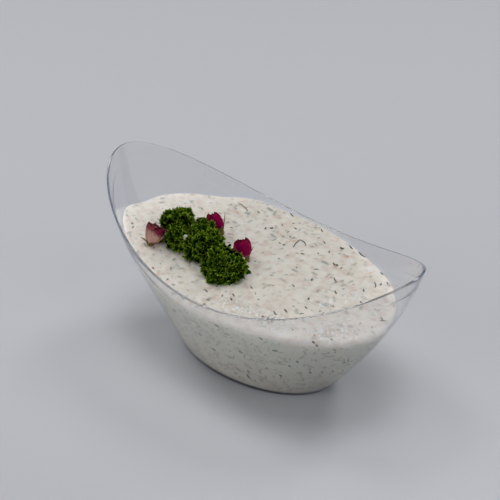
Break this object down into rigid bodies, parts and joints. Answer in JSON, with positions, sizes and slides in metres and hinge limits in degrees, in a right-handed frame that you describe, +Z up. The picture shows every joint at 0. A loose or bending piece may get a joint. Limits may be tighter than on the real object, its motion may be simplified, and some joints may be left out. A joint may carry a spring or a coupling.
{
  "type": "tzatziki dip",
  "caption": "Thick herb-flecked yoghurt dip filling a clear boat-shaped serving bowl, garnished with curly parsley and dried rosebuds.",
  "frame": {"origin": "centre of the bowl's flat base, on the surface it stands on", "axes": "+X along the bowl's length, away from the garnished end, +Y across its width, +Z up"},
  "size_m": [0.23, 0.1162, 0.1024],
  "materials": {
    "clear_plastic": "clear, glossy, faintly blue at its edges",
    "dip": "moist off-white yoghurt flecked with dill, soft satin",
    "parsley": "fresh dark green curled leaf, slightly waxy",
    "rosebud": "dried petals, magenta fading to cream at the base"
  },
  "bodies": {
    "root": {"bowl": "clear_plastic", "dip": "dip", "parsley_left": "parsley", "parsley_middle": "parsley", "parsley_right": "parsley", "rosebud_left": "rosebud", "rosebud_back": "rosebud", "rosebud_right": "rosebud"}
  },
  "joints": []
}
